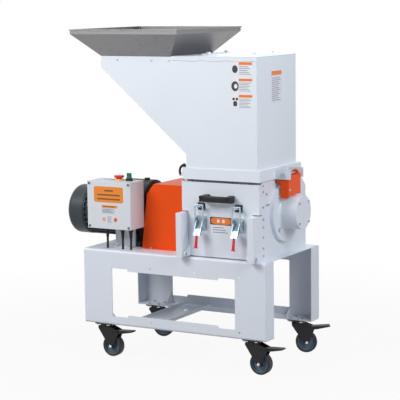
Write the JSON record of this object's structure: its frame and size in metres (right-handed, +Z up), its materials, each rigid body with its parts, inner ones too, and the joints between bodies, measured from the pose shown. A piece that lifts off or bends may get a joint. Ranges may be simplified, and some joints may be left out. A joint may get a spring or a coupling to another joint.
{
  "type": "plastic granulator",
  "caption": "Beside-the-press plastic granulator: wheeled frame, geared motor and guarded coupling, cutting chamber with drop-down door, and tilting hopper with a feed tray.",
  "frame": {"origin": "on the floor, under the middle of the wheeled frame", "axes": "+X along the machine from the motor to the right bearing, +Y to the back, +Z up; the door faces -Y"},
  "size_m": [1.032, 0.5836, 1.303],
  "materials": {
    "white_paint": "powder coated",
    "orange_paint": "powder coated",
    "grey_paint": "painted",
    "bright_steel": "bright",
    "stainless": "brushed",
    "zinc": "zinc plated",
    "black_steel": "painted",
    "wheel_rubber": "matte",
    "black_plastic": "moulded",
    "red_plastic": "moulded",
    "green_plastic": "moulded"
  },
  "bodies": {
    "machine": {"deck_frame": "white_paint", "cross_beam": "white_paint", "caster_plates": "grey_paint", "caster_bolts": "bright_steel", "side_plates": "white_paint", "chamber_walls": "white_paint", "knife_bars": "grey_paint", "bed_knives": "bright_steel", "bearing_housings": "white_paint", "bearings": "bright_steel", "bearing_caps": "white_paint", "chamber_bolts": "bright_steel", "deck_bolts": "bright_steel", "chamber_seal": "wheel_rubber", "hinge_pins": "bright_steel", "catches": "bright_steel", "hinge_bracket": "orange_paint", "hinge_rod": "bright_steel", "motor": "grey_paint", "motor_cowl": "grey_paint", "gear_unit": "grey_paint", "coupling_guard": "orange_paint", "control_box": "white_paint", "box_cover": "white_paint", "box_stand": "white_paint", "box_fittings": "black_plastic", "cables": "black_plastic"},
    "front_door": {"front_door": "white_paint", "door_handle": "black_plastic", "latch_bases": "zinc"},
    "latch_lever_left": {"latch_lever_left": "zinc"},
    "latch_lever_right": {"latch_lever_right": "zinc"},
    "latch_loop_left": {"latch_loop_left": "zinc"},
    "latch_loop_right": {"latch_loop_right": "zinc"},
    "hopper": {"hopper": "white_paint", "hopper_tray": "stainless", "hopper_lid": "white_paint", "lid_plate": "bright_steel", "hopper_screws": "bright_steel"},
    "hopper_lock": {"hopper_lock": "black_steel"},
    "rotor": {"rotor": "grey_paint", "rotor_knives": "bright_steel", "coupling": "bright_steel"},
    "motor_fan": {"motor_fan": "black_plastic"},
    "screen_cradle": {"screen_cradle": "grey_paint", "screen": "stainless"},
    "stop_button": {"stop_button": "red_plastic"},
    "selector_knob": {"selector_knob": "green_plastic"},
    "fork_front_left": {"fork_front_left": "black_steel"},
    "wheel_front_left": {"wheel_front_left": "wheel_rubber"},
    "pedal_front_left": {"pedal_front_left": "black_steel"},
    "fork_front_right": {"fork_front_right": "black_steel"},
    "wheel_front_right": {"wheel_front_right": "wheel_rubber"},
    "pedal_front_right": {"pedal_front_right": "black_steel"},
    "fork_rear_left": {"fork_rear_left": "black_steel"},
    "wheel_rear_left": {"wheel_rear_left": "wheel_rubber"},
    "pedal_rear_left": {"pedal_rear_left": "black_steel"},
    "fork_rear_right": {"fork_rear_right": "black_steel"},
    "wheel_rear_right": {"wheel_rear_right": "wheel_rubber"},
    "pedal_rear_right": {"pedal_rear_right": "black_steel"}
  },
  "joints": [
    {"name": "swivel_front_left", "type": "hinge", "parent": "machine", "child": "fork_front_left", "pos_m": [-0.332, -0.194, 0.12], "axis": [0, 0, 1], "continuous": true},
    {"name": "roll_front_left", "type": "hinge", "parent": "fork_front_left", "child": "wheel_front_left", "pos_m": [-0.299, -0.194, 0.043], "axis": [0, 1, 0], "continuous": true},
    {"name": "brake_front_left", "type": "hinge", "parent": "fork_front_left", "child": "pedal_front_left", "pos_m": [-0.27578, -0.194, 0.09976], "axis": [0, 1, 0], "range_deg": [0, 12]},
    {"name": "swivel_front_right", "type": "hinge", "parent": "machine", "child": "fork_front_right", "pos_m": [0.332, -0.194, 0.12], "axis": [0, 0, 1], "continuous": true},
    {"name": "roll_front_right", "type": "hinge", "parent": "fork_front_right", "child": "wheel_front_right", "pos_m": [0.365, -0.194, 0.043], "axis": [0, 1, 0], "continuous": true},
    {"name": "brake_front_right", "type": "hinge", "parent": "fork_front_right", "child": "pedal_front_right", "pos_m": [0.38822, -0.194, 0.09976], "axis": [0, 1, 0], "range_deg": [0, 12]},
    {"name": "swivel_rear_left", "type": "hinge", "parent": "machine", "child": "fork_rear_left", "pos_m": [-0.332, 0.194, 0.12], "axis": [0, 0, 1], "continuous": true},
    {"name": "roll_rear_left", "type": "hinge", "parent": "fork_rear_left", "child": "wheel_rear_left", "pos_m": [-0.2995, 0.19973, 0.043], "axis": [-0.1736, 0.9848, 0], "continuous": true},
    {"name": "brake_rear_left", "type": "hinge", "parent": "fork_rear_left", "child": "pedal_rear_left", "pos_m": [-0.27663, 0.20376, 0.09976], "axis": [-0.1736, 0.9848, 0], "range_deg": [0, 12]},
    {"name": "swivel_rear_right", "type": "hinge", "parent": "machine", "child": "fork_rear_right", "pos_m": [0.332, 0.194, 0.12], "axis": [0, 0, 1], "continuous": true},
    {"name": "roll_rear_right", "type": "hinge", "parent": "fork_rear_right", "child": "wheel_rear_right", "pos_m": [0.36114, 0.20949, 0.043], "axis": [-0.4695, 0.8829, 0], "continuous": true},
    {"name": "brake_rear_right", "type": "hinge", "parent": "fork_rear_right", "child": "pedal_rear_right", "pos_m": [0.38164, 0.22039, 0.09976], "axis": [-0.4695, 0.8829, 0], "range_deg": [0, 12]},
    {"name": "door", "type": "hinge", "parent": "machine", "child": "front_door", "pos_m": [0.206, -0.25, 0.45], "axis": [1, 0, 0], "range_deg": [0, 85]},
    {"name": "lever_left", "type": "hinge", "parent": "front_door", "child": "latch_lever_left", "pos_m": [0.126, -0.231, 0.57596], "axis": [-1, 0, 0], "range_deg": [0, 110]},
    {"name": "loop_left", "type": "hinge", "parent": "latch_lever_left", "child": "latch_loop_left", "pos_m": [0.126, -0.24, 0.55996], "axis": [1, 0, 0], "range_deg": [0, 143]},
    {"name": "lever_right", "type": "hinge", "parent": "front_door", "child": "latch_lever_right", "pos_m": [0.286, -0.231, 0.57596], "axis": [-1, 0, 0], "range_deg": [0, 110]},
    {"name": "loop_right", "type": "hinge", "parent": "latch_lever_right", "child": "latch_loop_right", "pos_m": [0.286, -0.24, 0.55996], "axis": [1, 0, 0], "range_deg": [0, 143]},
    {"name": "hopper_tilt", "type": "hinge", "parent": "machine", "child": "hopper", "pos_m": [0.409, -0.035, 0.75], "axis": [0, 1, 0], "range_deg": [0, 88]},
    {"name": "lock_swing", "type": "hinge", "parent": "machine", "child": "hopper_lock", "pos_m": [0.027, -0.17136, 0.709], "axis": [0, -1, 0], "range_deg": [0, 80]},
    {"name": "rotor_spin", "type": "hinge", "parent": "machine", "child": "rotor", "pos_m": [0.206, -0.015, 0.603], "axis": [1, 0, 0], "continuous": true},
    {"name": "fan_spin", "type": "hinge", "parent": "machine", "child": "motor_fan", "pos_m": [-0.5, -0.015, 0.56], "axis": [1, 0, 0], "continuous": true},
    {"name": "cradle_swing", "type": "hinge", "parent": "machine", "child": "screen_cradle", "pos_m": [0.206, 0.107, 0.563], "axis": [1, 0, 0], "range_deg": [0, 12]},
    {"name": "stop_press", "type": "slide", "parent": "machine", "child": "stop_button", "axis": [0, 0, -1], "range_m": [0, 0.004], "stiffness_N_per_m": 600, "springref_m": -0.003},
    {"name": "selector_turn", "type": "hinge", "parent": "machine", "child": "selector_knob", "pos_m": [-0.228, -0.168, 0.715], "axis": [0, 0, 1], "range_deg": [-45, 45]}
  ],
  "couplings": [
    {"joint": "loop_left", "follows": "lever_left", "ratio": 1.3},
    {"joint": "loop_right", "follows": "lever_right", "ratio": 1.3},
    {"joint": "fan_spin", "follows": "rotor_spin", "ratio": -2.75}
  ]
}
